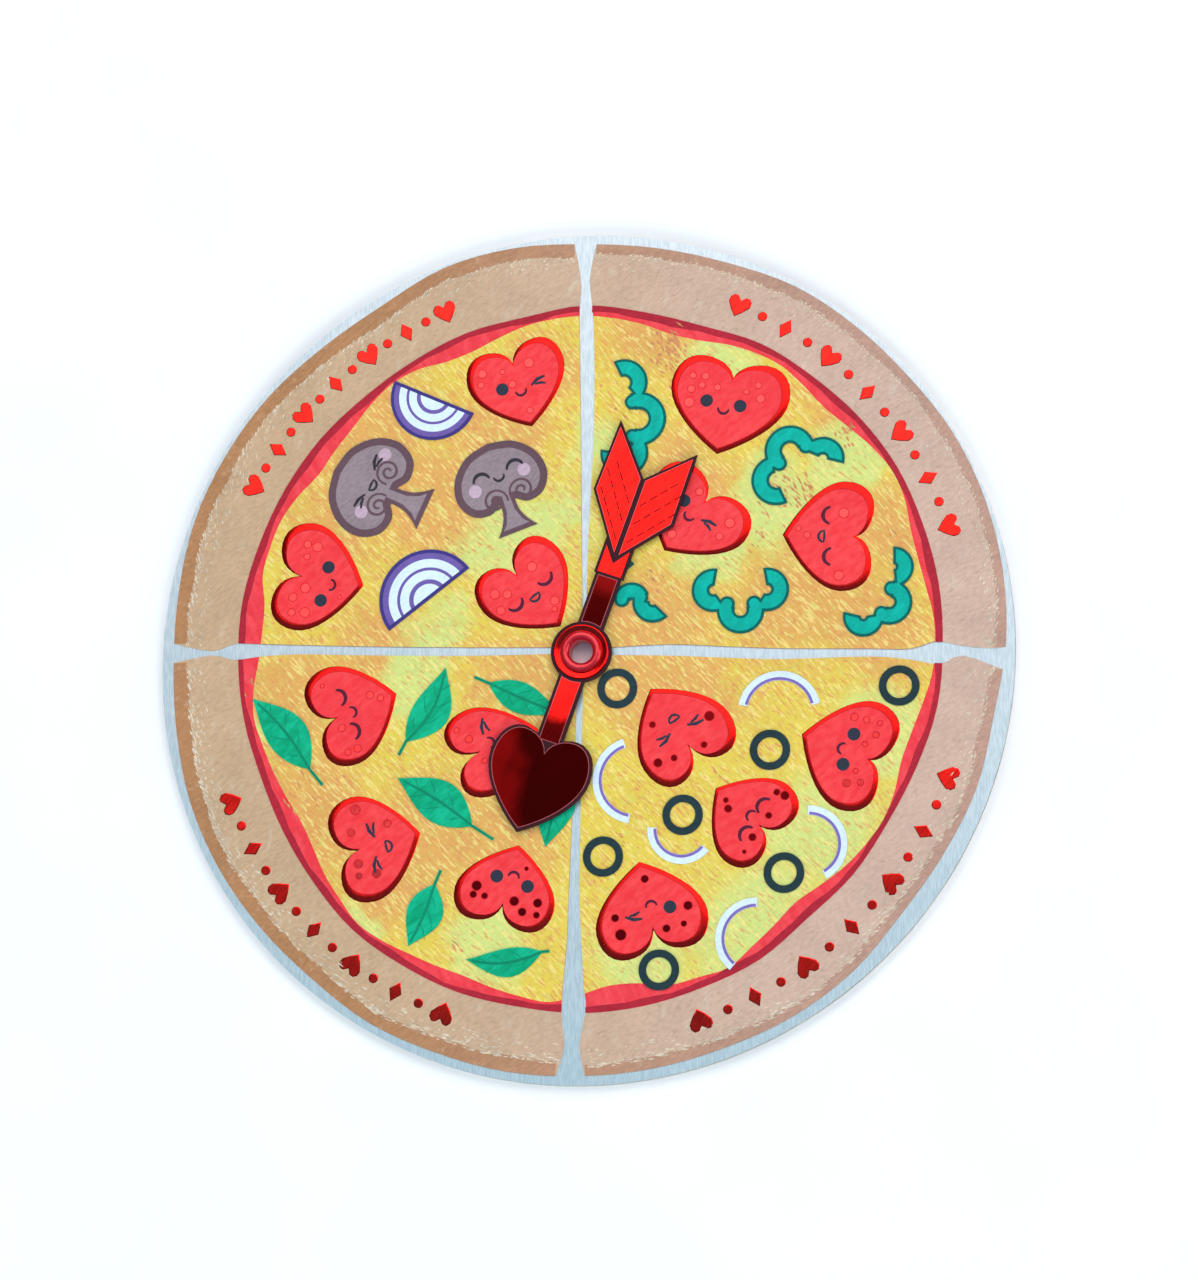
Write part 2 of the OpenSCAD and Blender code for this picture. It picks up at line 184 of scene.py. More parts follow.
foil_marks, given, out = effect("Foil surface", {"Line size": 0.25, "Line stretch": 8.0,
                                                 "Line turn": 90.0, "Depth": 1.0},
                                {"Lines": float, "Normal": Vector})
place = add(foil_marks, "TexCoord").outputs["Object"]
turn = add(foil_marks, "Math", {0: given["Line turn"], 1: -math.pi / 180}, operation="MULTIPLY")
lined = add(foil_marks, "VectorRotate", {"Vector": place, "Angle": turn.outputs[0]},
            rotation_type="Z_AXIS")
squeeze = add(foil_marks, "Math", {0: 1.0, 1: given["Line stretch"]}, operation="DIVIDE")
scale = add(foil_marks, "CombineXYZ", {"X": squeeze.outputs[0], "Y": 1.0, "Z": 1.0})
lined = add(foil_marks, "VectorMath", {0: lined.outputs[0], 1: scale.outputs[0]},
            operation="MULTIPLY")
per_metre = add(foil_marks, "Math", {0: 1000.0, 1: given["Line size"]}, operation="DIVIDE")
lines = add(foil_marks, "TexNoise", {"Vector": lined.outputs[0], "Scale": per_metre.outputs[0],
                                     "Detail": 3.0}).outputs["Fac"]
waves = stretched_noise(foil_marks, 9, 20, 1.5, 1)
foil_marks.links.new(lines, out.inputs["Lines"])
fine = add(foil_marks, "Bump", {"Height": lines, "Strength": 0.3, "Distance": 0.02 * MM})
slow = add(foil_marks, "Bump", {"Height": waves, "Strength": given["Depth"],
                                "Distance": 0.25 * MM, "Normal": fine.outputs[0]})
foil_marks.links.new(slow.outputs[0], out.inputs["Normal"])


def foil_material(name, colour, line_colour, roughness, depth=1.0, metallic=1.0,
                  line_size=0.25, line_turn=90.0):
    """Metal foil in one colour with rolling lines in a second."""
    made, tree, skin = material(name)
    marks = use(tree, foil_marks, {"Depth": depth, "Line size": line_size,
                                   "Line turn": line_turn})
    streak = ramp(tree, marks["Lines"], 0.35, 0.65)
    tree.links.new(mix(tree, streak, line_colour, colour), skin.inputs["Base Color"])
    tree.links.new(marks["Normal"], skin.inputs["Normal"])
    skin.inputs["Roughness"].default_value = roughness
    skin.inputs["Metallic"].default_value = metallic
    return made, tree, skin


silver_foil = foil_material("silver_foil", ink(208, 214, 217), ink(188, 197, 203), 0.42,
                            depth=0.3, metallic=0.72)[0]
dress(["foil_sheet"], silver_foil)

# ---- Crusts -------------------------------------------------------------------------------
# Each wedge's crust is printed tan, with a brown baked band along the rim and broken cream
# brush strokes just inside it.

WEDGES = ["upper_right", "upper_left", "lower_left", "lower_right"]
# A crust's rim lies beyond this distance from the hub, in millimetres
CRUST_RIM = 70
# Height of one layer of print, in millimetres
PRINT = 0.01
STROKES_PER_WEDGE = 650
dice = random.Random(7)


def top_outline(node):
    """The line around a CAD node's top face, counterclockwise from its left, in millimetres."""
    copy = bmesh.new()
    copy.from_mesh(nodes[node].data)
    bmesh.ops.remove_doubles(copy, verts=copy.verts, dist=0.002 * MM)
    high = max(v.co.z for v in copy.verts) - 0.01 * MM
    top = {f for f in copy.faces if all(v.co.z > high for v in f.verts)}
    after = {}
    for face in top:
        for loop in face.loops:
            if not any(f in top for f in loop.edge.link_faces if f is not face):
                after[loop.vert] = loop.link_loop_next.vert
    lines = []
    while after:
        vert, line = next(iter(after)), []
        while vert in after:
            line.append((vert.co.x / MM, vert.co.y / MM))
            vert = after.pop(vert)
        lines.append(line)
    copy.free()
    line = max(lines, key=len)
    start = line.index(min(line))
    return line[start:] + line[:start]


def top_of(node):
    """Height of a CAD node's top face, in millimetres."""
    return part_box(node)[1].z / MM


def counterclockwise(line):
    """The same outline, running counterclockwise."""
    area = sum(a[0] * b[1] - b[0] * a[1] for a, b in zip(line, line[1:] + line[:1]))
    return line[::-1] if area < 0 else line


def plate(shape, line, low, high, kind=0):
    """Add a thin flat plate with that outline to a mesh being built."""
    line = counterclockwise(line)
    lower = [shape.verts.new((x * MM, y * MM, low * MM)) for x, y in line]
    upper = [shape.verts.new((x * MM, y * MM, high * MM)) for x, y in line]
    faces = [shape.faces.new(upper), shape.faces.new(lower[::-1])]
    for i in range(len(line)):
        j = (i + 1) % len(line)
        faces.append(shape.faces.new((lower[i], lower[j], upper[j], upper[i])))
    for face in faces:
        face.material_index = kind


def strip(shape, left, right, low, high, kind=0):
    """Add a thin flat band between two lines with the same number of points."""
    rows = []
    for z in (low, high):
        rows.append([[shape.verts.new((x * MM, y * MM, z * MM)) for x, y in line]
                     for line in (left, right)])
    (low_l, low_r), (high_l, high_r) = rows
    faces = []
    for i in range(len(left) - 1):
        j = i + 1
        faces.append(shape.faces.new((high_l[i], high_r[i], high_r[j], high_l[j])))
        faces.append(shape.faces.new((low_l[j], low_r[j], low_r[i], low_l[i])))
        faces.append(shape.faces.new((low_l[i], high_l[i], high_l[j], low_l[j])))
        faces.append(shape.faces.new((high_r[i], low_r[i], low_r[j], high_r[j])))
    for i, (a, b, c, d) in ((0, (low_l, low_r, high_r, high_l)),
                            (-1, (high_l, high_r, low_r, low_l))):
        faces.append(shape.faces.new((a[i], b[i], c[i], d[i])))
    for face in faces:
        face.material_index = kind


def piece(name, shape, surfaces, body):
    """Turn a finished mesh into a named piece that rides on a CAD body."""
    mesh = bpy.data.meshes.new(name)
    shape.to_mesh(mesh)
    shape.free()
    for surface in surfaces:
        mesh.materials.append(surface)
    made = bpy.data.objects.new(name, mesh)
    scene.collection.objects.link(made)
    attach(made, body)
    return made


# A side of an outline follows the rim where this share of it or more runs round the hub
ROUND_HUB = 0.6


def rim_line(node, inner):
    """The part of a wedge's outline that follows the rim, counterclockwise."""
    line = top_outline(node)
    kept = []
    for a, b in zip(line, line[1:] + line[:1]):
        run, radius = math.dist(a, b), math.hypot(*a)
        across = (a[0] * (b[1] - a[1]) - a[1] * (b[0] - a[0])) / (run * radius)
        kept.append(a if across > ROUND_HUB and radius > inner else None)
    start = next(i for i in range(len(kept)) if kept[i] and not kept[i - 1])
    run = []
    for i in range(len(kept)):
        run.append(line[(start + i) % len(line)])
        if kept[(start + i) % len(kept)] is None:
            break
    return run


def pulled_in(line, depth):
    """Each point of a rim line moved towards the hub by depth(angle)."""
    moved = []
    for x, y in line:
        radius = math.hypot(x, y)
        keep = (radius - depth(math.atan2(y, x))) / radius
        moved.append((x * keep, y * keep))
    return moved


def ragged(base, amount, seed):
    """A band width that wanders around its base as it goes round."""
    waves = [(random.Random(seed + k).uniform(0, 6.3), n) for k, n in enumerate((5, 11, 23, 47))]
    return lambda a: base + amount * sum(math.sin(n * a + s) for s, n in waves) / 2


crust_print, tree, skin = material("crust_print")
across = add(tree, "SeparateXYZ", {0: add(tree, "TexCoord").outputs["Object"]}).outputs["X"]
specks = stretched_noise(tree, 0.7, 20, 1.4, 2)
flour = stretched_noise(tree, 2.2, 65, 2, 4)
tan = mix(tree, ramp(tree, across, -50 * MM, 50 * MM), ink(200, 165, 131), ink(208, 173, 154))
tan = mix(tree, ramp(tree, flour, 0.55, 0.75, 0, 0.35), tan, ink(222, 203, 180))
tan = mix(tree, ramp(tree, specks, 0.6, 0.72, 0, 0.4), tan, ink(178, 146, 118))
on_paper(tree, skin, tan, 0.6, 0.9)
dress(["crust_" + w for w in WEDGES], crust_print)

baked, tree, skin = material("baked_rim")
across = add(tree, "SeparateXYZ", {0: add(tree, "TexCoord").outputs["Object"]}).outputs["X"]
brown = mix(tree, ramp(tree, across, -50 * MM, 60 * MM), ink(180, 128, 88), ink(190, 148, 130))
burnt = stretched_noise(tree, 1.2, 0, 1, 4)
brown = mix(tree, ramp(tree, burnt, 0.55, 0.75, 0, 0.4), brown, ink(208, 172, 142))
on_paper(tree, skin, brown, 0.6, 1.2)
cream = paper_material("cream_strokes", ink(222, 205, 182), 0.65, 1.6)
flour_tan = paper_material("tan_strokes", ink(214, 192, 166), 0.65, 1.6)

crust_z = top_of("crust_upper_right")
for w in WEDGES:
    line = rim_line("crust_" + w, CRUST_RIM)
    band = 2.5 if w.endswith("left") else 1.9
    shape = bmesh.new()
    edge = pulled_in(line, ragged(band, 0.25, len(w)))
    strip(shape, edge, line, crust_z, crust_z + PRINT)
    for k in range(STROKES_PER_WEDGE):
        i = dice.randrange(len(edge) - 1)
        a, b = Vector(edge[i]), Vector(edge[i + 1])
        along = (b - a).normalized()
        depth = abs(dice.gauss(0, 0.5)) - 0.3 if k % 3 else dice.uniform(0.3, 3)
        start = a.lerp(b, dice.random()) + depth * Vector((-along.y, along.x))
        end = start + dice.uniform(0.3, 1.6) * along.lerp(Vector((1, -0.6)), 0.25)
        over = dice.uniform(0.06, 0.17) * Vector((-along.y, along.x))
        plate(shape, [tuple(q) for q in (start, start.lerp(end, 0.4) - over, end,
                                         start.lerp(end, 0.6) + over)],
              crust_z, crust_z + 1.2 * PRINT + 0.0001 * k, 1 + k % 2)
    piece("crust_print_" + w, shape, [baked, cream, flour_tan], "board")

# ---- Sauce --------------------------------------------------------------------------------
# A bright red sauce print shows between the cheese and the crust, with a darker red band
# brushed along its outer edge.

# The sauce's rim lies beyond this distance from the hub, in millimetres
SAUCE_RIM = 58
sauce_print, tree, skin = material("sauce_print")
thin = stretched_noise(tree, 1.2, 120, 3, 3)
red = mix(tree, ramp(tree, thin, 0.35, 0.7), ink(236, 58, 68), ink(246, 76, 84))
on_paper(tree, skin, red, 0.5, 0.6)
dress(["sauce_" + w for w in WEDGES], sauce_print)
dark_sauce = paper_material("dark_sauce", ink(176, 38, 54), 0.55, 1.3)

sauce_z = top_of("sauce_upper_right")
for w in WEDGES:
    line = rim_line("sauce_" + w, SAUCE_RIM)
    edge = pulled_in(line, ragged(1.15, 0.25, 3 + len(w)))
    shape = bmesh.new()
    strip(shape, edge, line, sauce_z, sauce_z + PRINT)
    piece("sauce_band_" + w, shape, [dark_sauce], "board")

# ---- Cheese -------------------------------------------------------------------------------
# The cheese print runs softly from yellow to lime to orange, under short slanting pastel
# strokes and a few loose reddish flecks.

# Soft patches on the cheese: x, y and radius in millimetres
LIME = [(-13, 20, 10), (-25, 5, 7), (24, 53, 8), (33, 25, 9), (45, 32, 8), (-29, -4, 7),
        (22, 17, 7), (42, -32, 12), (10, -54, 10), (52, -15, 8), (-40, -48, 6), (-16, -50, 8),
        (30, -48, 12), (-4, 25, 7), (3, 36, 6), (-60, -12, 5)]
ORANGE = [(-38, 42, 14), (-27, 28, 13), (-45, 24, 12), (-16, 40, 10), (12, 55, 9), (18, 30, 11),
          (38, 8, 14), (12, 4, 13), (12, -5, 12), (-52, -8, 13), (-48, -27, 15), (-26, -30, 13),
          (-12, -32, 10), (54, 20, 10), (20, -8, 10), (-34, -40, 10), (-10, -6, 11), (50, 3, 12),
          (-36, 4, 9), (-6, 50, 8), (45, 42, 8)]

# How far the patches' edges wander, in millimetres
WANDER = 16
cheese_print, tree, skin = material("cheese_print")
place = add(tree, "TexCoord").outputs["Object"]
wander = add(tree, "TexNoise", {"Vector": place, "Scale": 110.0, "Detail": 3.0})
wander = add(tree, "VectorMath", {0: wander.outputs["Color"], 1: (0.5, 0.5, 0.5)},
             operation="SUBTRACT")
wander = add(tree, "VectorMath", {0: wander.outputs[0], 1: (WANDER * MM, WANDER * MM, 0)},
             operation="MULTIPLY")
spot = add(tree, "VectorMath", {0: place, 1: wander.outputs[0]}, operation="ADD").outputs[0]
flat = add(tree, "VectorMath", {0: spot, 1: (1, 1, 0)}, operation="MULTIPLY").outputs[0]


def patches(table):
    """Mask of the soft patches in a table."""
    total = 0.0
    for x, y, radius in table:
        far = add(tree, "VectorMath", {0: flat, 1: (x * MM, y * MM, 0)}, operation="DISTANCE")
        near = ramp(tree, far.outputs["Value"], 0.35 * radius * MM, 1.25 * radius * MM, 1, 0)
        total = add(tree, "Math", {0: total, 1: near}, operation="MAXIMUM").outputs[0]
    return total


cheese = mix(tree, patches(ORANGE), ink(230, 200, 82), ink(226, 168, 92))
lime = patches(LIME)
cheese = mix(tree, lime, cheese, ink(212, 218, 122))
where = stretched_noise(tree, 8, 30, 1, 2)


def brushed(cheese, size, lean, reach, colour, low, strength):
    """Cheese with short slanting strokes of one colour brushed over it."""
    hairs = ramp(tree, stretched_noise(tree, size, lean, reach, 1.0), low, low + 0.07, 0, strength)
    return mix(tree, hairs, cheese, colour)


dabs = add(tree, "Math", {0: ramp(tree, stretched_noise(tree, 0.42, -50, 5, 1.0), 0.53, 0.6),
                          1: ramp(tree, where, 0.38, 0.6, 0, 0.85)}, operation="MULTIPLY")
cheese = mix(tree, dabs.outputs[0], cheese, ink(226, 158, 92))
cheese = mix(tree, ramp(tree, lime, 0, 1, 0, 0.55), cheese, ink(210, 218, 132))
cheese = brushed(cheese, 0.38, -46, 5, ink(244, 222, 134), 0.56, 0.7)
cheese = brushed(cheese, 0.5, -56, 5, ink(216, 206, 104), 0.6, 0.55)
cheese = brushed(cheese, 0.4, -40, 5, ink(224, 142, 92), 0.62, 0.7)
on_paper(tree, skin, cheese, 0.55, 0.5)
dress(["cheese_" + w for w in WEDGES], cheese_print)

# Loose flecks: middle of the group, spread and count
FLECKS = [(15, 54, 3.2, 45), (18, 51, 3, 24), (46, 38, 1.8, 16), (33, 28, 3, 30), (38, 27, 3, 26),
          (-23, 19.5, 1.5, 6), (-22, -51, 1.3, 4), (7, -33, 0.9, 4), (5, -38, 1, 4),
          (6.5, 43, 1, 4), (30, 20, 3.5, 10), (54, 20, 1.2, 3), (-58, -4, 1.5, 5),
          (24, -22, 1, 4), (-50, -24, 4, 14), (12, 12, 4, 10)]
flecks = paper_material("cheese_flecks", ink(214, 142, 96), 0.55, 1.5)
cheese_z = top_of("cheese_upper_right")
shape = bmesh.new()
for x, y, spread, count in FLECKS:
    for k in range(count):
        mx, my = dice.gauss(x, spread * 0.6), dice.gauss(y, spread * 0.6)
        long, wide = dice.uniform(0.35, 1.0), dice.uniform(0.1, 0.26)
        lean = math.radians(dice.gauss(-52, 12))
        along = (math.cos(lean) * long, math.sin(lean) * long)
        over = (-math.sin(lean) * wide, math.cos(lean) * wide)
        plate(shape, [(mx - along[0], my - along[1]), (mx + over[0], my + over[1]),
                      (mx + along[0], my + along[1]), (mx - over[0], my - over[1])],
              cheese_z, cheese_z + 1.2 * PRINT + 0.0002 * k)
piece("cheese_flecks", shape, [flecks], "board")

# ---- Hearts -------------------------------------------------------------------------------
# Each heart is a red foil shape with a softly rounded edge. A slightly smaller coral face is
# printed over it, leaving a foil band, small round foil windows and a plain smiling face.

BRIGHT_RED = (1.0, 0.014, 0.011, 1)


def red_foil(name, colour, lines, roughness, depth):
    """Red foil in one shade, with its finer slanting lines in a second."""
    return foil_material(name, colour, lines, roughness, depth, line_size=0.35, line_turn=55)


heart_foil = red_foil("heart_foil", BRIGHT_RED, (0.85, 0.01, 0.008, 1), 0.25, 0.5)[0]
coral, tree, skin = material("heart_coral")
blush = stretched_noise(tree, 1.1, 40, 2, 3)
wash = stretched_noise(tree, 10, 0, 1, 2)
pink = mix(tree, ramp(tree, blush, 0.3, 0.7), ink(244, 54, 60), ink(250, 74, 77))
pink = mix(tree, ramp(tree, wash, 0.4, 0.7, 0, 0.4), pink, ink(238, 50, 62))
on_paper(tree, skin, pink, 0.45, 0.5)
window_foil = red_foil("window_foil", (1.0, 0.06, 0.06, 1), (0.9, 0.05, 0.05, 1), 0.2, 0.5)[0]
# A near-black copy of the window foil: painted shade on some hearts' windows.
window_foil_painted_dark = red_foil("window_foil_painted_dark", (0.2, 0.004, 0.006, 1), (0.16, 0.003, 0.005, 1),
                       0.2, 0.5)[0]
face_line = paper_material("heart_line", ink(196, 22, 30), 0.5)
navy = paper_material("face_ink", ink(48, 52, 66), 0.5)
plum = paper_material("mouth_ink", ink(88, 30, 52), 0.5)


def arc(middle, radius, start, end, steps=10):
    """Points along a circle, angles in degrees."""
    angles = [math.radians(start + (end - start) * k / steps) for k in range(steps + 1)]
    return [(middle[0] + radius * math.cos(a), middle[1] + radius * math.sin(a))
            for a in angles]


def circle(middle, radius, steps=24):
    """Points round a whole circle, without the closing one."""
    return arc(middle, radius, 0, 360, steps)[:-1]


def pen(shape, line, width, low, high, kind=0, ends=1.0):
    """Add a pen stroke along a line. ends is the width left at its two ends."""
    left, right = [], []
    for i, (x, y) in enumerate(line):
        a, b = line[max(i - 1, 0)], line[min(i + 1, len(line) - 1)]
        run = math.dist(a, b)
        full = math.sin(math.pi * i / (len(line) - 1))
        half = width / 2 * (ends + (1 - ends) * full)
        across = ((a[1] - b[1]) / run * half, (b[0] - a[0]) / run * half)
        left.append((x + across[0], y + across[1]))
        right.append((x - across[0], y - across[1]))
    strip(shape, left, right, low, high, kind)


def set_down(line, at, heading):
    """Points drawn upright around the origin, moved to a place with up along heading."""
    c, s = math.cos(math.radians(heading - 90)), math.sin(math.radians(heading - 90))
    return [(at[0] + x * c - y * s, at[1] + x * s + y * c) for x, y in line]


DOT_EYE = 1.12


def feature(shape, what, at, heading, z, dark, soft):
    """Add one feature of a face: an eye or a mouth."""
    if what == "dot":
        plate(shape, circle(at, DOT_EYE), z, z + 2 * PRINT, dark)
        return
    lines = {
        "smile": [(arc((0, 0.3), 0.95, 180, 360), 0.5, soft)],
        "closed": [(arc((0, 0.75), 1.5, 190, 350), 0.66, soft)],
        "arch": [(arc((0, -0.8), 1.5, 10, 170), 0.66, dark)],
        "open": [(arc((0, 0.55), 1.0, 180, 360, 12), 0.46, dark),
                 ([(-1.1, 0.5), (0, 0.6), (1.1, 0.5)], 0.46, dark)],
        "wink": [([(-1.4, -0.3), (0, 0.45), (1.4, 0.6)], 0.64, dark),
                 ([(-0.7, -0.3), (0.3, -0.35), (1.2, -0.7)], 0.52, dark)],
        "winked": [([(1.4, -0.3), (0, 0.45), (-1.4, 0.6)], 0.64, dark),
                   ([(0.7, -0.3), (-0.3, -0.35), (-1.2, -0.7)], 0.52, dark)],
    }
    for k, (line, width, kind) in enumerate(lines[what]):
        pen(shape, set_down(line, at, heading), width, z, z + 0.018 + 0.004 * k, kind, 0.6)


def offset(line, depth, tidy=True):
    """A counterclockwise outline drawn in by depth, leaving out points that would cross."""
    moved = []
    n = len(line)
    for i in range(n):
        a, b, c = line[i - 1], line[i], line[(i + 1) % n]
        u = Vector((b[0] - a[0], b[1] - a[1])).normalized()
        v = Vector((c[0] - b[0], c[1] - b[1])).normalized()
        inward = Vector((-u.y - v.y, u.x + v.x))
        inward = inward.normalized() / max(0.6, math.sqrt(max(0.0, (1 + u.dot(v)) / 2)))
        spot = (b[0] + inward.x * depth, b[1] + inward.y * depth)
        if not tidy or clear_of(line, spot) > 0.93 * abs(depth):
            moved.append(spot)
    return untangled(moved) if tidy else moved


def untangled(line):
    """An outline with the small loops cut off where it crosses itself."""
    for i in range(len(line)):
        for j in range(i + 2, min(i + 40, len(line) - 1)):
            a, b, c, d = (Vector(q) for q in (line[i], line[i + 1], line[j], line[j + 1]))
            cross = (b - a).cross(d - c)
            if abs(cross) < 1e-9:
                continue
            t, u = (c - a).cross(d - c) / cross, (c - a).cross(b - a) / cross
            if 0 < t < 1 and 0 < u < 1:
                return untangled(line[:i + 1] + [tuple(a + (b - a) * t)] + line[j + 1:])
    return line


def clear_of(line, spot):
    """Distance from a spot to the nearest side of an outline."""
    nearest = math.inf
    for (ax, ay), (bx, by) in zip(line, line[1:] + line[:1]):
        run = (bx - ax) ** 2 + (by - ay) ** 2
        t = max(0, min(1, ((spot[0] - ax) * (bx - ax) + (spot[1] - ay) * (by - ay)) / run))
        nearest = min(nearest, math.dist(spot, (ax + t * (bx - ax), ay + t * (by - ay))))
    return nearest


def rounded_plate(shape, line, low, steps):
    """Add a plate with a rounded upper edge; steps are (distance in, height) pairs."""
    rows = []
    for depth, z in [(0, low)] + steps:
        rows.append([shape.verts.new((x * MM, y * MM, z * MM))
                     for x, y in offset(line, depth, False)])
    for lower, upper in zip(rows, rows[1:]):
        for i in range(len(line)):
            j = (i + 1) % len(line)
            face = shape.faces.new((lower[i], lower[j], upper[j], upper[i]))
            face.smooth = True
    shape.faces.new(rows[-1])
    shape.faces.new(rows[0][::-1])


# Each heart: heading from point to notch, then its face as feature, x, y, and its foil
# windows as x, y, radius
HEARTS = {
    "heart_winking": (107, [("dot", -14.6, 47.5), ("smile", -11.2, 47), ("wink", -8.2, 48.8)],
        [(-18.2, 50.4, .7), (-18.4, 48.4, .5), (-14.6, 50.7, .4), (-9.9, 52.2, .8),
         (-12.8, 48.4, .6), (-9.6, 43.6, .5)]),
    "heart_left": (170, [("dot", -45.3, 16.4), ("dot", -46.6, 10.5), ("smile", -44.7, 13.2)],
        [(-49.1, 20.6, .6), (-47.3, 20.1, .8), (-49.2, 18.4, .5), (-49.4, 12.8, .8),
         (-51.6, 11.2, .7), (-51.8, 8.5, .6), (-49.4, 8.4, .8), (-43.2, 11, .3)]),
    "heart_upper_hub": (130, [("closed", -6.5, 13.2), ("closed", -11.6, 8.7),
                              ("open", -8.2, 9.9)],
        [(-9, 15.5, .8), (-15.5, 10.8, .8), (-13.3, 10.7, .7), (-14.4, 7.8, .7),
         (-4.9, 9.4, .7), (-4.9, 7.9, .4)]),
    "heart_large": (78, [("dot", 21.7, 44.3), ("dot", 27.6, 43.1), ("smile", 24.6, 42.5)],
        [(19.3, 48.9, .5), (21.5, 48.7, .6), (20.9, 47.1, .5), (19, 46.5, .6),
         (23.6, 46.6, .5), (18.6, 44.1, .8), (30.8, 46.7, .5), (28.7, 45.6, .4),
         (31.2, 44.3, .7)]),
    "heart_under_tail": (49.5, [("smile", 18.6, 23.7), ("wink", 22, 22.3),
                                ("dot", 17.8, 26.5)],
        [(25.8, 22.3, .8), (24, 20, .6), (15.7, 20.6, .7), (20.5, 28, .6)]),
    "heart_right": (-3, [("closed", 42.8, 23.2), ("closed", 42.9, 15.9),
                         ("open", 41.7, 19.5)],
        [(45.7, 23.5, .8), (39.3, 19.8, .5), (37.8, 21, .4), (44.8, 12.5, .8)]),
    "heart_lower_hub": (-56, [("open", 16, -11.8), ("winked", 19.8, -12.5),
                              ("wink", 14.5, -15.5)],
        [(12.4, -12.9, .5), (22.3, -11.6, .8), (21.4, -16.6, .5), (16.2, -18.8, .5),
         (13.4, -19.6, .7)]),
    "heart_lower_right": (-22, [("dot", 47.3, -15.3), ("dot", 45.4, -20.5),
                                ("smile", 45.2, -17.7)],
        [(47.4, -12.3, .6), (49.5, -12.9, .5), (51.8, -13.5, .4), (51.1, -15.5, .5),
         (49.2, -17.1, .4), (47.6, -21.7, .4), (46, -23.8, .6), (48.4, -23.7, .5)]),
    "heart_small": (-41, [("closed", 31.5, -27.2), ("closed", 28.5, -32),
                          ("smile", 29.5, -29)],
        [(25.2, -26.3, .4), (25.6, -27.8, .6), (34, -25.1, .5), (35.4, -25.7, .7),
         (32.6, -29.1, .5), (29.8, -32.8, .6), (28.4, -35.3, .3)]),
    "heart_bottom_right": (-78, [("winked", 9.3, -46.3), ("smile", 12.3, -44.2),
                                 ("dot", 15.6, -44.6)],
        [(11.2, -39.7, .6), (18.7, -44.4, .7), (6.1, -46.4, .6), (7.1, -49.3, .9),
         (15, -48.3, .6), (18, -47.5, .45)]),
    "heart_lower_left": (-159, [("closed", -42.6, -6.8), ("closed", -40, -12.8),
                                ("smile", -40.5, -9.5)],
        [(-46, -4.8, .3), (-37.5, -6.6, .6), (-35.6, -7.1, .5), (-42.4, -12.3, .6),
         (-41.2, -16.6, .5), (-39.5, -16, .6)]),
    "heart_under_head": (-159, [("winked", -17.2, -12.5), ("smile", -16, -15.4)],
        [(-19.8, -14.8, .6), (-17, -18.6, .4), (-22, -13.2, .4)]),
    "heart_outer_left": (-165, [("wink", -36.8, -30.4), ("winked", -35.8, -36.4),
                                ("open", -33.6, -33.2)],
        [(-39.7, -26.8, .8), (-34, -29.3, .6), (-40.4, -30.8, .6), (-39, -36.3, .7),
         (-38.9, -38.4, .5), (-35.8, -38, .7)]),
    "heart_bottom_left": (-105, [("dot", -14.6, -38.8), ("dot", -9.2, -40.7),
                                 ("smile", -11.6, -38.8)],
        [(-18.1, -40.4, .8), (-18.7, -41.9, .55), (-16.7, -42.2, .5), (-11.5, -43.2, .75),
         (-7.4, -43.6, .7), (-10.1, -45.1, .65), (-7.6, -45.7, .5), (-9.4, -37.6, .3)]),
}

# The hearts whose foil windows are painted near black: painted shade
PAINTED_DARK_WINDOWS = ["heart_lower_hub", "heart_small", "heart_bottom_right", "heart_bottom_left"]
# Places of a heart's finishes in its list of materials
LINE, CORAL, NAVY, PLUM, WINDOW, PAINTED_DARK_WINDOW = range(1, 7)
# A heart's rounded edge: distance in from its outline and height above its underside
HEART_EDGE = [(0.02, 0.03), (0.2, 0.07), (0.5, 0.13), (0.8, 0.18)]
EDGE_WIDTH = 1.1
# Share of a heart's size taken by its dark line and by the coral face inside that
LINE_SHARE, CORAL_SHARE = 0.892, 0.872
# The printed face sits this far towards the hub, in millimetres
HUB_SHIFT = 0.35
# Width of the dark line around a foil window, in millimetres
WINDOW_LINE = 0.14


def shrunk(line, size):
    """A heart's outline made smaller about its middle and moved a little towards the hub."""
    mx = sum(x for x, y in line) / len(line)
    my = sum(y for x, y in line) / len(line)
    far = math.hypot(mx, my)
    cx, cy = mx - HUB_SHIFT * mx / far, my - HUB_SHIFT * my / far
    return [(cx + (x - mx) * size, cy + (y - my) * size) for x, y in line]


for name, (heading, face, windows) in HEARTS.items():
    line = top_outline(name)
    low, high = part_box(name)[0].z / MM, top_of(name)
    coral_top = high + 2 * PRINT
    shape = bmesh.new()
    rounded_plate(shape, line, low, [(depth, low + rise) for depth, rise in HEART_EDGE]
                  + [(EDGE_WIDTH, high)])
    plate(shape, shrunk(line, LINE_SHARE), high, high + PRINT, LINE)
    plate(shape, shrunk(line, CORAL_SHARE), high, coral_top, CORAL)
    window = PAINTED_DARK_WINDOW if name in PAINTED_DARK_WINDOWS else WINDOW
    for x, y, radius in windows:
        plate(shape, circle((x, y), radius + WINDOW_LINE, 18), coral_top, coral_top + 0.006, LINE)
        plate(shape, circle((x, y), radius, 18), coral_top, coral_top + 0.016, window)
    for what, x, y in face:
        feature(shape, what, (x, y), heading, coral_top, NAVY, PLUM)
    made = piece(name + "_foil", shape, [heart_foil, face_line, coral, navy, plum, window_foil,
                                         window_foil_painted_dark], "board")
    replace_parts(made, name)

# ---- Onion halves -------------------------------------------------------------------------
# Two printed half onions: an indigo skin, a purple layer and white rings around a white
# middle.

onion_skin = paper_material("onion_print", ink(66, 56, 126), 0.55)
onion_purple = paper_material("onion_purple", ink(114, 92, 162), 0.55)
onion_white = paper_material("onion_white", ink(222, 235, 250), 0.55, 0.7)
dress(["onion_half_upper", "onion_half_lower"], onion_skin)


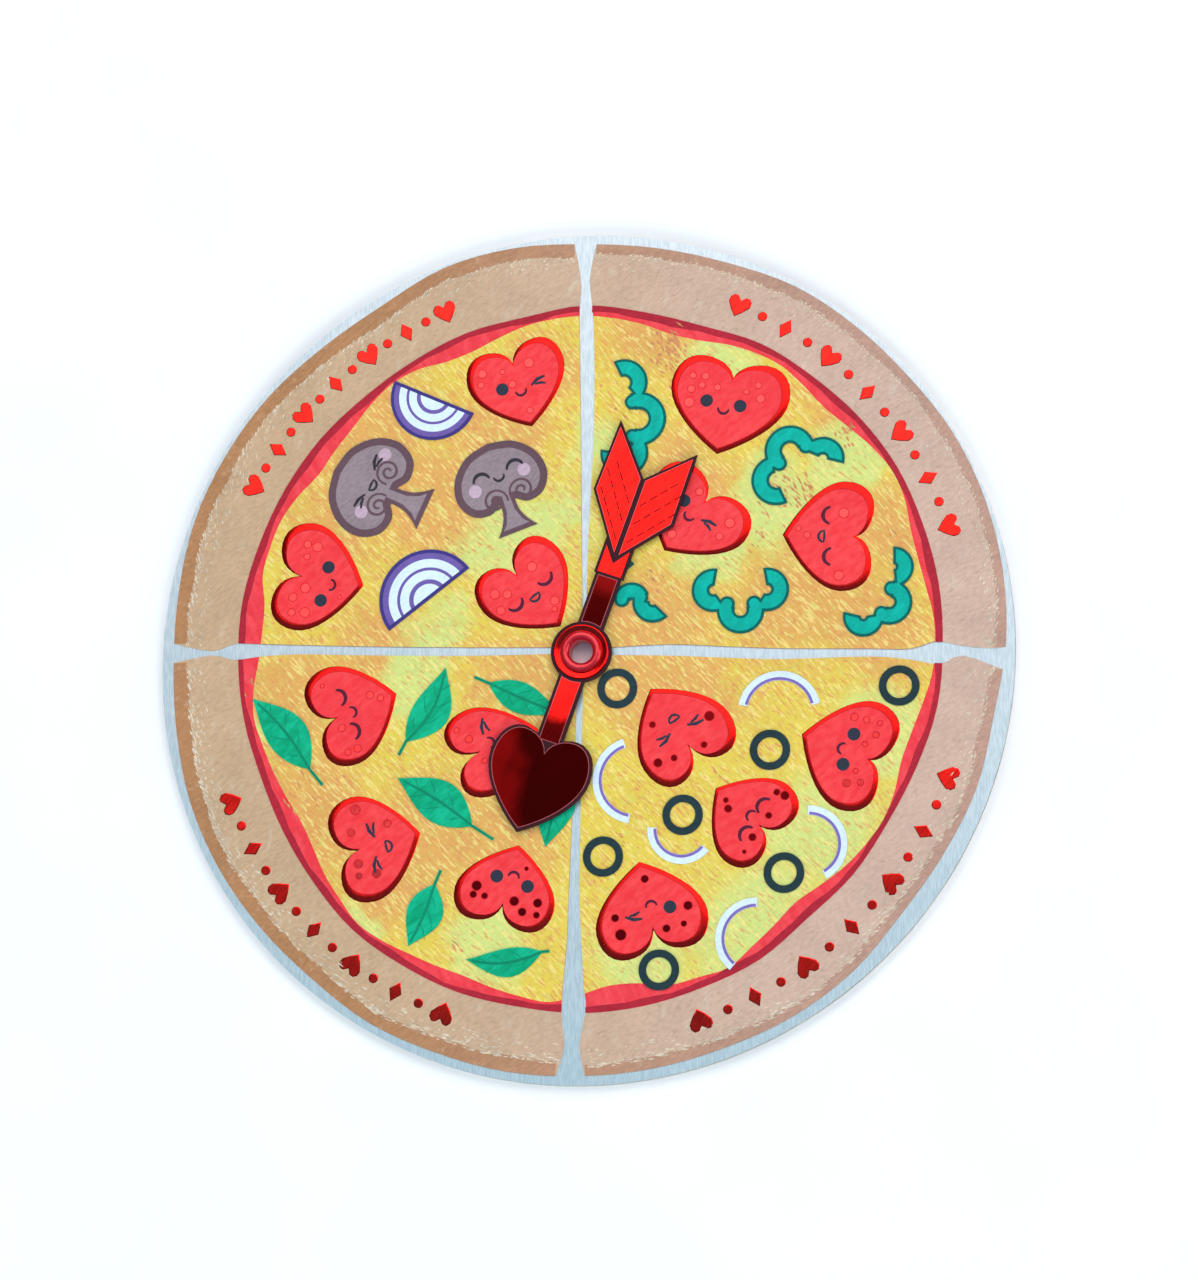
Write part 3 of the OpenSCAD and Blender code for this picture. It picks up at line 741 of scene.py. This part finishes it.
def half_disc(middle, radius, heading, trim):
    """A half disc whose straight side is set back from the onion's own by trim."""
    reach = math.degrees(math.asin(min(1, trim / radius)))
    line = arc((0, 0), radius, -90 + reach, 90 - reach, 28)
    return set_down(line, middle, heading + 90)


# Each onion half: node, middle, radius and heading
ONIONS = [("onion_half_upper", (-26.8, 46.6), 7.8, -114),
          ("onion_half_lower", (-27.2, 10.2), 8.9, 127.5)]
PURPLE, WHITE = 0, 1
# Each ring, from the skin inwards: share of the onion's radius and colour
RINGS = [(0.93, PURPLE), (0.81, WHITE), (0.64, PURPLE), (0.58, WHITE), (0.4, PURPLE),
         (0.31, WHITE)]
# Width of the skin left along an onion's straight side, in millimetres
SKIN = 0.6
z = top_of("onion_half_upper")
for name, middle, radius, heading in ONIONS:
    shape = bmesh.new()
    for k, (share, kind) in enumerate(RINGS):
        plate(shape, half_disc(middle, radius * share, heading, SKIN), z,
              z + 0.006 * (k + 1), kind)
    piece(name + "_rings", shape, [onion_purple, onion_white], "board")

# ---- Mushrooms ----------------------------------------------------------------------------
# Two printed mushroom slices with a dark brown outline, a mauve body, curled gills and a
# plain face.

mushroom_edge = paper_material("mushroom_print", ink(104, 77, 86), 0.55)
mushroom_body = paper_material("mushroom_body", ink(150, 131, 137), 0.55, 1.3)
mushroom_ink = paper_material("mushroom_ink", ink(58, 50, 60), 0.5)
mushroom_blush = paper_material("mushroom_blush", ink(198, 168, 182), 0.55)
dress(["mushroom_left", "mushroom_right"], mushroom_edge)

# One side of the body's stem, drawn upright, from the cap down to the foot
STEM = [(0.6, 1), (0.75, -4), (1.5, -6.1), (2.4, -7.1)]
# Each mushroom: middle of its cap, turn, scale, face, cheeks, and gill curls with their hand
MUSHROOMS = {
    "mushroom_left": ((-35.9, 29.9), 66, 1.08,
                      [("wink", -37, 35), ("winked", -39.8, 28.2), ("open", -37.4, 30.8)],
                      [(-35.5, 36.4), (-39.6, 26.2)],
                      [(-34.8, 33.3, 1), (-36.6, 27.2, -1)]),
    "mushroom_right": ((-14.2, 29.4), 20, 1,
                       [("arch", -18.3, 31.6), ("arch", -12.4, 34), ("smile", -15, 31.7)],
                       [(-19.2, 29.2), (-10.6, 33)],
                       [(-15.6, 27.3, -1), (-10.9, 29.4, 1)]),
}
# Width of the dark outline left around the body, and radius of a cheek, in millimetres
OUTLINE, CHEEK = 1.3, 1.15
CURL_STEPS = 28
# Places of a mushroom's finishes in its list of materials
BODY, INK, BLUSH, EDGE = range(4)


def gill_curl(side):
    """A curl of the gills drawn upright around the origin."""
    line = []
    for k in range(CURL_STEPS + 1):
        radius, angle = 0.3 + 2 * k / CURL_STEPS, math.radians(22 * k - 60)
        line.append((side * radius * math.cos(angle), radius * math.sin(angle)))
    return line


for name, (middle, turn, size, face, cheeks, curls) in MUSHROOMS.items():
    z = top_of(name)
    line = top_outline(name)
    shape = bmesh.new()
    plate(shape, offset(line, OUTLINE), z, z + 1.2 * PRINT, BODY)
    stem = [(x * size, y * size) for x, y in STEM + [(-x, y) for x, y in STEM[::-1]]]
    plate(shape, set_down(stem, middle, turn + 90), z, z + PRINT, BODY)
    for x, y in cheeks:
        plate(shape, circle((x, y), CHEEK), z, z + 0.018, BLUSH)
    for x, y, side in curls:
        curl = set_down(gill_curl(side), (x, y), turn + 90)
        pen(shape, curl, 0.48, z, z + 0.022, EDGE, 0.8)
    for what, x, y in face:
        feature(shape, what, (x, y), turn + 90, z + PRINT, INK, INK)
    piece(name + "_face", shape, [mushroom_body, mushroom_ink, mushroom_blush, mushroom_edge],
          "board")

# ---- Peppers ------------------------------------------------------------------------------
# Five curled pepper rings of thin card, each printed in bright teal with a darker green
# outline and glued flat on the cheese.

PEPPERS = ["pepper_top", "pepper_middle", "pepper_lower", "pepper_right", "pepper_under_shaft"]
# Width of a pepper ring's dark outline, in millimetres
PEPPER_OUTLINE = 0.47
pepper_edge = paper_material("pepper_print", ink(0, 98, 90), 0.5)
pepper_fill, tree, skin = material("pepper_fill")
juice = stretched_noise(tree, 1.5, 60, 2, 3)
teal = mix(tree, ramp(tree, juice, 0.35, 0.7), ink(0, 166, 148), ink(2, 182, 164))
on_paper(tree, skin, teal, 0.5, 0.8)
dress(PEPPERS, pepper_edge)
for name in PEPPERS:
    z = top_of(name)
    shape = bmesh.new()
    plate(shape, offset(top_outline(name), PEPPER_OUTLINE), z, z + 2 * PRINT)
    piece(name + "_fill", shape, [pepper_fill], "board")

# ---- Leaves -------------------------------------------------------------------------------
# Seven basil leaves of thin card printed in green, each with a midrib, side veins and a
# thin stem.

leaf_print, tree, skin = material("leaf_print")
veined = stretched_noise(tree, 1.6, 40, 2.5, 3)
green = mix(tree, ramp(tree, veined, 0.35, 0.68), ink(0, 158, 112), ink(16, 182, 136))
on_paper(tree, skin, green, 0.5, 1.0)
vein_ink = paper_material("leaf_veins", ink(10, 134, 98), 0.55)

# Each leaf: base, heading, length, width, bend, stem length
LEAVES = {
    "leaf_centre": ((-31, -15), 62, 14.7, 6.6, 1.5, 2.6),
    "leaf_left": ((-48, -19.5), 129.5, 16.5, 7.2, 0.8, 3.6),
    "leaf_upper": ((-16.5, -4.9), -24, 14, 5.4, 0.2, 2.7),
    "leaf_middle": ((-19, -30), 147, 15.9, 7.4, 0.5, 4.4),
    "leaf_under_head": ((-3, -20), -103, 14.2, 7, 0, 2),
    "leaf_bottom_left": ((-25.5, -40), 247, 11.6, 6.4, -0.4, 2.6),
    "leaf_bottom": ((-6.5, -52), 185, 13.4, 5, -1.3, 1.2),
}
dress(LEAVES, leaf_print)
RIB_STEPS = 14
# Where the side veins leave the midrib, as shares of a leaf's length
VEINS = (0.16, 0.26, 0.38, 0.5, 0.62, 0.74)


def on_midrib(t, length, bend):
    """The point on a leaf's midrib at a share t of its length."""
    return (bend * math.sin(math.pi * t), length * t)


for name, (base, heading, length, width, bend, stem) in LEAVES.items():
    z = top_of(name)
    shape = bmesh.new()
    middle = [(0, -stem), (0, -stem / 2)]
    middle += [on_midrib(k / RIB_STEPS, length, bend) for k in range(RIB_STEPS)]
    pen(shape, set_down(middle, base, heading), 0.5, z, z + 1.2 * PRINT, 0, 0.7)
    for k, t in enumerate(VEINS):
        side = 1 if k % 2 else -1
        x, y = on_midrib(t, length, bend)
        reach = width * 0.36 * math.sin(math.pi * (t + 0.08))
        line = [(x, y), (x + side * reach * 0.55, y + reach * 0.55),
                (x + side * reach, y + reach * 1.25)]
        pen(shape, set_down(line, base, heading), 0.17, z, z + 0.016, 0, 0.4)
    piece(name + "_veins", shape, [vein_ink], "board")

# ---- Olives and onion slivers -------------------------------------------------------------
# Black olive rings, and pale onion slivers with a thin purple line along their inner side,
# all of thin printed card glued flat on the cheese.

olive_print = paper_material("olive_print", ink(36, 56, 61), 0.5, 1.6)
dress(["olives"], olive_print)
sliver_print = paper_material("sliver_print", ink(220, 234, 250), 0.55, 0.8)
dress(["onion_slivers"], sliver_print)
sliver_line = paper_material("sliver_line", ink(130, 106, 180), 0.55)
# Each sliver: middle, radius, start angle and sweep
SLIVERS = [((34.4, -11.2), 6.4, 12, 156), ((9.6, -22.5), 6.8, 108, 152),
           ((17.6, -31.2), 5.2, 176, 145), ((39.4, -34.2), 5.9, -62, 152),
           ((30.4, -50.2), 6.2, 88, 142)]
# The line's distance in from a sliver's middle, and its width, in millimetres
LINE_IN, LINE_WIDTH = 0.52, 0.5
z = top_of("onion_slivers")
shape = bmesh.new()
for middle, radius, start, sweep in SLIVERS:
    inner_side = arc(middle, radius - LINE_IN, start + 2, start + sweep - 2, 28)
    pen(shape, inner_side, LINE_WIDTH, z, z + 1.2 * PRINT)
piece("sliver_lines", shape, [sliver_line], "board")

# ---- Foil marks on the crust --------------------------------------------------------------
# Short runs of small plain hearts, dots and diamonds are stamped in red foil around the
# crust, one run to each wedge.

stamp = red_foil("stamp_foil", (0.9, 0.02, 0.014, 1), (0.7, 0.014, 0.01, 1), 0.2, 0.6)[0]


def small_heart(size):
    """A heart's outline around the origin, point down."""
    side = [(0, -0.5), (0.28, -0.22), (0.5, 0.08), (0.5, 0.3), (0.36, 0.46), (0.18, 0.45),
            (0, 0.26)]
    line = side + [(-x, y) for x, y in side[-2:0:-1]]
    return [(x * size, y * size) for x, y in line]


def diamond(size):
    """A narrow upright diamond around the origin."""
    return [(0, -0.5 * size), (0.32 * size, 0), (0, 0.5 * size), (-0.32 * size, 0)]


# Each run of marks: start angle, end angle and distance from the hub
RUNS = [(152, 112, 66.8), (66, 18, 67), (-20, -72, 67.3), (-158, -111, 66.8)]
MARKS_PER_RUN = 13
# Sizes of the three kinds of mark, in millimetres
HEART_SIZE, DIAMOND_SIZE, DOT_RADIUS = 4, 3.8, 0.85
# A mark's rounded edge: distance in from its outline and height
STAMP_EDGE = [(0.04, crust_z + 0.03), (0.16, crust_z + 0.07)]
shape = bmesh.new()
for start, end, radius in RUNS:
    for k in range(MARKS_PER_RUN):
        a = start + (end - start) * k / (MARKS_PER_RUN - 1)
        at = (radius * math.cos(math.radians(a)), radius * math.sin(math.radians(a)))
        if k % 4 == 0:
            line = set_down(small_heart(HEART_SIZE), at, a)
        elif k % 4 == 2:
            line = set_down(diamond(DIAMOND_SIZE), at, a)
        else:
            line = circle(at, DOT_RADIUS, 20)
        rounded_plate(shape, counterclockwise(line), crust_z, STAMP_EDGE)
piece("crust_stamps", shape, [stamp], "board")

# ---- Washer and eyelet --------------------------------------------------------------------
# A clear plastic washer keeps the arrow off the toppings. A glossy red lacquered metal eyelet
# holds the arrow: its rounded top shows, and the table can be seen through its bore.

washer_plastic, tree, skin = material("washer_plastic")
cloud = stretched_noise(tree, 2, 0, 1, 3)
tree.links.new(mix(tree, ramp(tree, cloud, 0.3, 0.7), ink(214, 218, 220), ink(232, 234, 236)),
               skin.inputs["Base Color"])
skin.inputs["Roughness"].default_value = 0.35
dress(["spacer_washer"], washer_plastic)

red_metal, tree, skin = material("red_metal")
pits = stretched_noise(tree, 0.5, 0, 1, 3)
shade = mix(tree, ramp(tree, pits, 0.35, 0.7), ink(214, 14, 30), ink(226, 28, 42))
tree.links.new(shade, skin.inputs["Base Color"])
worn = add(tree, "Bump", {"Height": pits, "Strength": 0.05, "Distance": 0.05 * MM})
tree.links.new(worn.outputs[0], skin.inputs["Normal"])
skin.inputs["Metallic"].default_value = 0.6
skin.inputs["Roughness"].default_value = 0.3
skin.inputs["Coat Weight"].default_value = 0.5
skin.inputs["Coat Roughness"].default_value = 0.1
# Edges sharper than this stay crisp
CREASE = math.radians(35)
shape = bmesh.new()
shape.from_mesh(nodes["eyelet"].data)
bmesh.ops.remove_doubles(shape, verts=shape.verts, dist=0.002 * MM)
for face in shape.faces:
    face.smooth, face.material_index = True, 0
for edge in shape.edges:
    edge.smooth = edge.calc_face_angle(0) < CREASE
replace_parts(piece("eyelet_metal", shape, [red_metal], "board"), "eyelet")

# ---- Arrow --------------------------------------------------------------------------------
# The arrow is a dark card faced with foil: bright red on the front shaft, the sleeve, the hub
# and the vanes, and deep maroon on the heart-shaped head. Painted shade darkens the flat foil:
# the rear shaft's foil is painted deep maroon and the front shaft's turns dark away from the
# hub. A painted reflection makes the head lighter towards its left.

# The way the arrow's tail points at rest, in degrees
TURN = 70.5
arrow_card = paper_material("arrow_card", ink(58, 24, 30), 0.5, 1.5)
dress(["arrow_card"], arrow_card)
arrow_red = red_foil("red_foil", BRIGHT_RED, (0.86, 0.01, 0.008, 1), 0.16, 0.35)[0]
dress(["sleeve_facing", "left_vane", "right_vane", "hub_facing"], arrow_red)


def foil_with_painted_shade(name, bright, dark, near, far):
    """Red foil with painted shade and painted reflection: bright at one distance from the hub,
    dark at another.
    """
    made, tree, skin = red_foil(name, bright, bright, 0.16, 0.35)
    place = add(tree, "TexCoord").outputs["Object"]
    out = add(tree, "VectorMath", {0: place}, operation="LENGTH").outputs["Value"]
    wobble = ramp(tree, stretched_noise(tree, 3, 0, 1, 1), 0.3, 0.7, -0.6 * MM, 0.6 * MM)
    out = add(tree, "Math", {0: out, 1: wobble}, operation="ADD").outputs[0]
    tree.links.new(mix(tree, ramp(tree, out, near * MM, far * MM), bright, dark),
                   skin.inputs["Base Color"])
    return made


# Painted shade on the flat shaft foils: the front shaft's foil turns dark 11 to 14 mm from the
# hub, and the rear shaft's is painted near black, a little lighter further out.
dress(["front_facing"], foil_with_painted_shade("front_foil", BRIGHT_RED, (0.1, 0.002, 0.002, 1), 11, 14))
dress(["rear_facing"], foil_with_painted_shade("rear_foil", (0.04, 0.001, 0.001, 1),
                                   (0.13, 0.003, 0.003, 1), 10, 14))
# The head's deep maroon foil is painted lighter, in blotches, towards -X on its left: painted
# reflection.
head_foil_with_painted_sheen, tree, skin = red_foil("dark_foil", (0.05, 0.001, 0.001, 1),
                                  (0.035, 0.001, 0.001, 1), 0.3, 0.35)
place = add(tree, "TexCoord").outputs["Object"]
side = add(tree, "SeparateXYZ", {0: place}).outputs["X"]
cloudy = ramp(tree, stretched_noise(tree, 4, 60, 1.6, 3), 0.3, 0.7, -1.5 * MM, 1.5 * MM)
side = add(tree, "Math", {0: side, 1: cloudy}, operation="ADD").outputs[0]
tree.links.new(mix(tree, ramp(tree, side, -14.5 * MM, -8 * MM), (0.2, 0.003, 0.003, 1),
                   (0.042, 0.001, 0.001, 1)), skin.inputs["Base Color"])
dress(["head_facing"], head_foil_with_painted_sheen)

pale_line = paper_material("facing_line", ink(176, 84, 88), 0.4)
dash_ink = paper_material("vane_dashes", ink(70, 6, 10), 0.5)

# The eyelet presses the hub's foil into a shallow dish: radius and height above the foil
DISH = [(3.7, 0.005), (4.1, 0.07), (4.6, 0.2), (4.75, 0.2), (4.85, 0.005)]
DISH_SIDES = 96
z = top_of("hub_facing")
shape = bmesh.new()
profile = [shape.verts.new((radius * MM, 0, (z + rise) * MM)) for radius, rise in DISH]
edges = [shape.edges.new(pair) for pair in zip(profile, profile[1:])]
bmesh.ops.spin(shape, geom=profile + edges, cent=(0, 0, 0), axis=(0, 0, 1),
               angle=2 * math.pi, steps=DISH_SIDES, use_merge=True)
for face in shape.faces:
    face.smooth = True
piece("hub_dish", shape, [arrow_red], "arrow")


# Width of the pale line along the edges of the facings, in millimetres
EDGE_LINE = 0.12
shape = bmesh.new()
for name in ("head_facing", "rear_facing", "left_vane", "right_vane", "front_facing"):
    z = top_of(name)
    line = offset(top_outline(name), -0.02, False)
    inner = offset(line, EDGE_LINE, False)
    strip(shape, inner + inner[:1], line + line[:1], z - PRINT, z + 1.2 * PRINT)
# Three dashed lines run out along each vane. Each vane: its side of the shaft and its lean
VANES = ((1, 35), (-1, -41))
# Each dashed line: its start along the shaft, in millimetres, and its count of dashes
DASHED_LINES = ((20.6, 5), (24, 5), (27.4, 4))
DASH_PITCH, DASH_LENGTH, DASH_WIDTH = 2.1, 1.5, 0.22
z = top_of("left_vane")
for side, lean in VANES:
    run = (math.cos(math.radians(lean)), math.sin(math.radians(lean)))
    for start, count in DASHED_LINES:
        for k in range(count):
            x, y = start + DASH_PITCH * k * run[0], side + DASH_PITCH * k * run[1]
            dash = [(x, y), (x + DASH_LENGTH * run[0], y + DASH_LENGTH * run[1])]
            pen(shape, set_down(dash, (0, 0), TURN + 90), DASH_WIDTH, z, z + 0.014, 1)
piece("arrow_lines", shape, [pale_line, dash_ink], "arrow")

# ---- Table, lights and camera -------------------------------------------------------------
# The spinner lies on a plain pale table. A large softbox stands beyond its top edge, weaker
# ones stand at the other three sides, and a faint blue-green card overhead tints the silver.

# The table's top lies just under the spinner's back, so that the two never share a face
TABLE_DROP = 0.05
table_shape = bmesh.new()
bmesh.ops.create_grid(table_shape, x_segments=1, y_segments=1, size=4)
bmesh.ops.translate(table_shape, verts=table_shape.verts, vec=(0, 0, -TABLE_DROP * MM))
mesh = bpy.data.meshes.new("table")
table_shape.to_mesh(mesh)
table_shape.free()
table = bpy.data.objects.new("table", mesh)
scene.collection.objects.link(table)
table_surface, tree, skin = material("table_surface")
soft = stretched_noise(tree, 40, 0, 1, 2)
pale = mix(tree, ramp(tree, soft, 0.3, 0.7), (0.95, 0.915, 0.905, 1), (0.98, 0.94, 0.93, 1))
tree.links.new(pale, skin.inputs["Base Color"])
skin.inputs["Roughness"].default_value = 0.8
skin.inputs["Specular IOR Level"].default_value = 0.2
mesh.materials.append(table_surface)

world = bpy.data.worlds.new("room")
scene.world = world
world.use_nodes = True
world.node_tree.nodes["Background"].inputs["Color"].default_value = (0.3, 0.55, 1.0, 1)
world.node_tree.nodes["Background"].inputs["Strength"].default_value = 0.22


def softbox(name, at, aim, wide, tall, radiance, mirrored=True, colour=(1, 0.965, 0.93)):
    """A rectangular light whose face has the given brightness; fill lights aren't mirrored."""
    lamp = bpy.data.lights.new(name, "AREA")
    lamp.shape = "RECTANGLE"
    lamp.size, lamp.size_y = wide, tall
    lamp.color = colour
    lamp.energy = radiance * math.pi * wide * tall
    made = bpy.data.objects.new(name, lamp)
    scene.collection.objects.link(made)
    made.visible_glossy = mirrored
    look = Vector(aim) - Vector(at)
    made.matrix_world = Matrix.Translation(at) @ look.to_track_quat("-Z", "Y").to_matrix().to_4x4()


softbox("north_box", (0.12, 0.78, 1.05), (0.12, 0.49, 0), 1.26, 1.2, 2.4)
softbox("south_fill", (0.3, -1.5, 1.0), (0, 0, 0), 1.8, 0.9, 3.3, mirrored=False)
softbox("west_fill", (-1.5, -0.1, 1.0), (0, 0, 0), 1.0, 1.6, 2.1, mirrored=False)
softbox("east_box", (1.5, -0.1, 1.0), (0, 0, 0), 1.0, 1.6, 2.0)
softbox("sky_card", (-0.1, -0.3, 1.1), (-0.1, -0.2, 0), 1.5, 0.75, 0.6, colour=(0.08, 0.85, 1))

# The camera's lean from straight above, its bearing, its roll, its distance and its lens
TILT, AZIMUTH, ROLL = math.radians(14.46), math.radians(-49.68), math.radians(0.41)
FAR, LENS = 0.8, 129.7
out_of_page = Vector((math.sin(TILT) * math.cos(AZIMUTH), math.sin(TILT) * math.sin(AZIMUTH),
                      math.cos(TILT)))
across = (-out_of_page).cross(Vector((0, 1, 0))).normalized()
up = across.cross(-out_of_page)
right = math.cos(ROLL) * across + math.sin(ROLL) * up
up = -math.sin(ROLL) * across + math.cos(ROLL) * up
centre = Vector((2.88, 2.29, 1.8)) * MM

view = bpy.data.cameras.new("camera")
view.lens = LENS
view.sensor_width = 36
view.dof.use_dof = False
camera = bpy.data.objects.new("camera", view)
scene.collection.objects.link(camera)
turned = Matrix((right, up, out_of_page)).transposed().to_4x4()
camera.matrix_world = Matrix.Translation(FAR * out_of_page + centre) @ turned
scene.camera = camera
scene.view_settings.view_transform = "Standard"
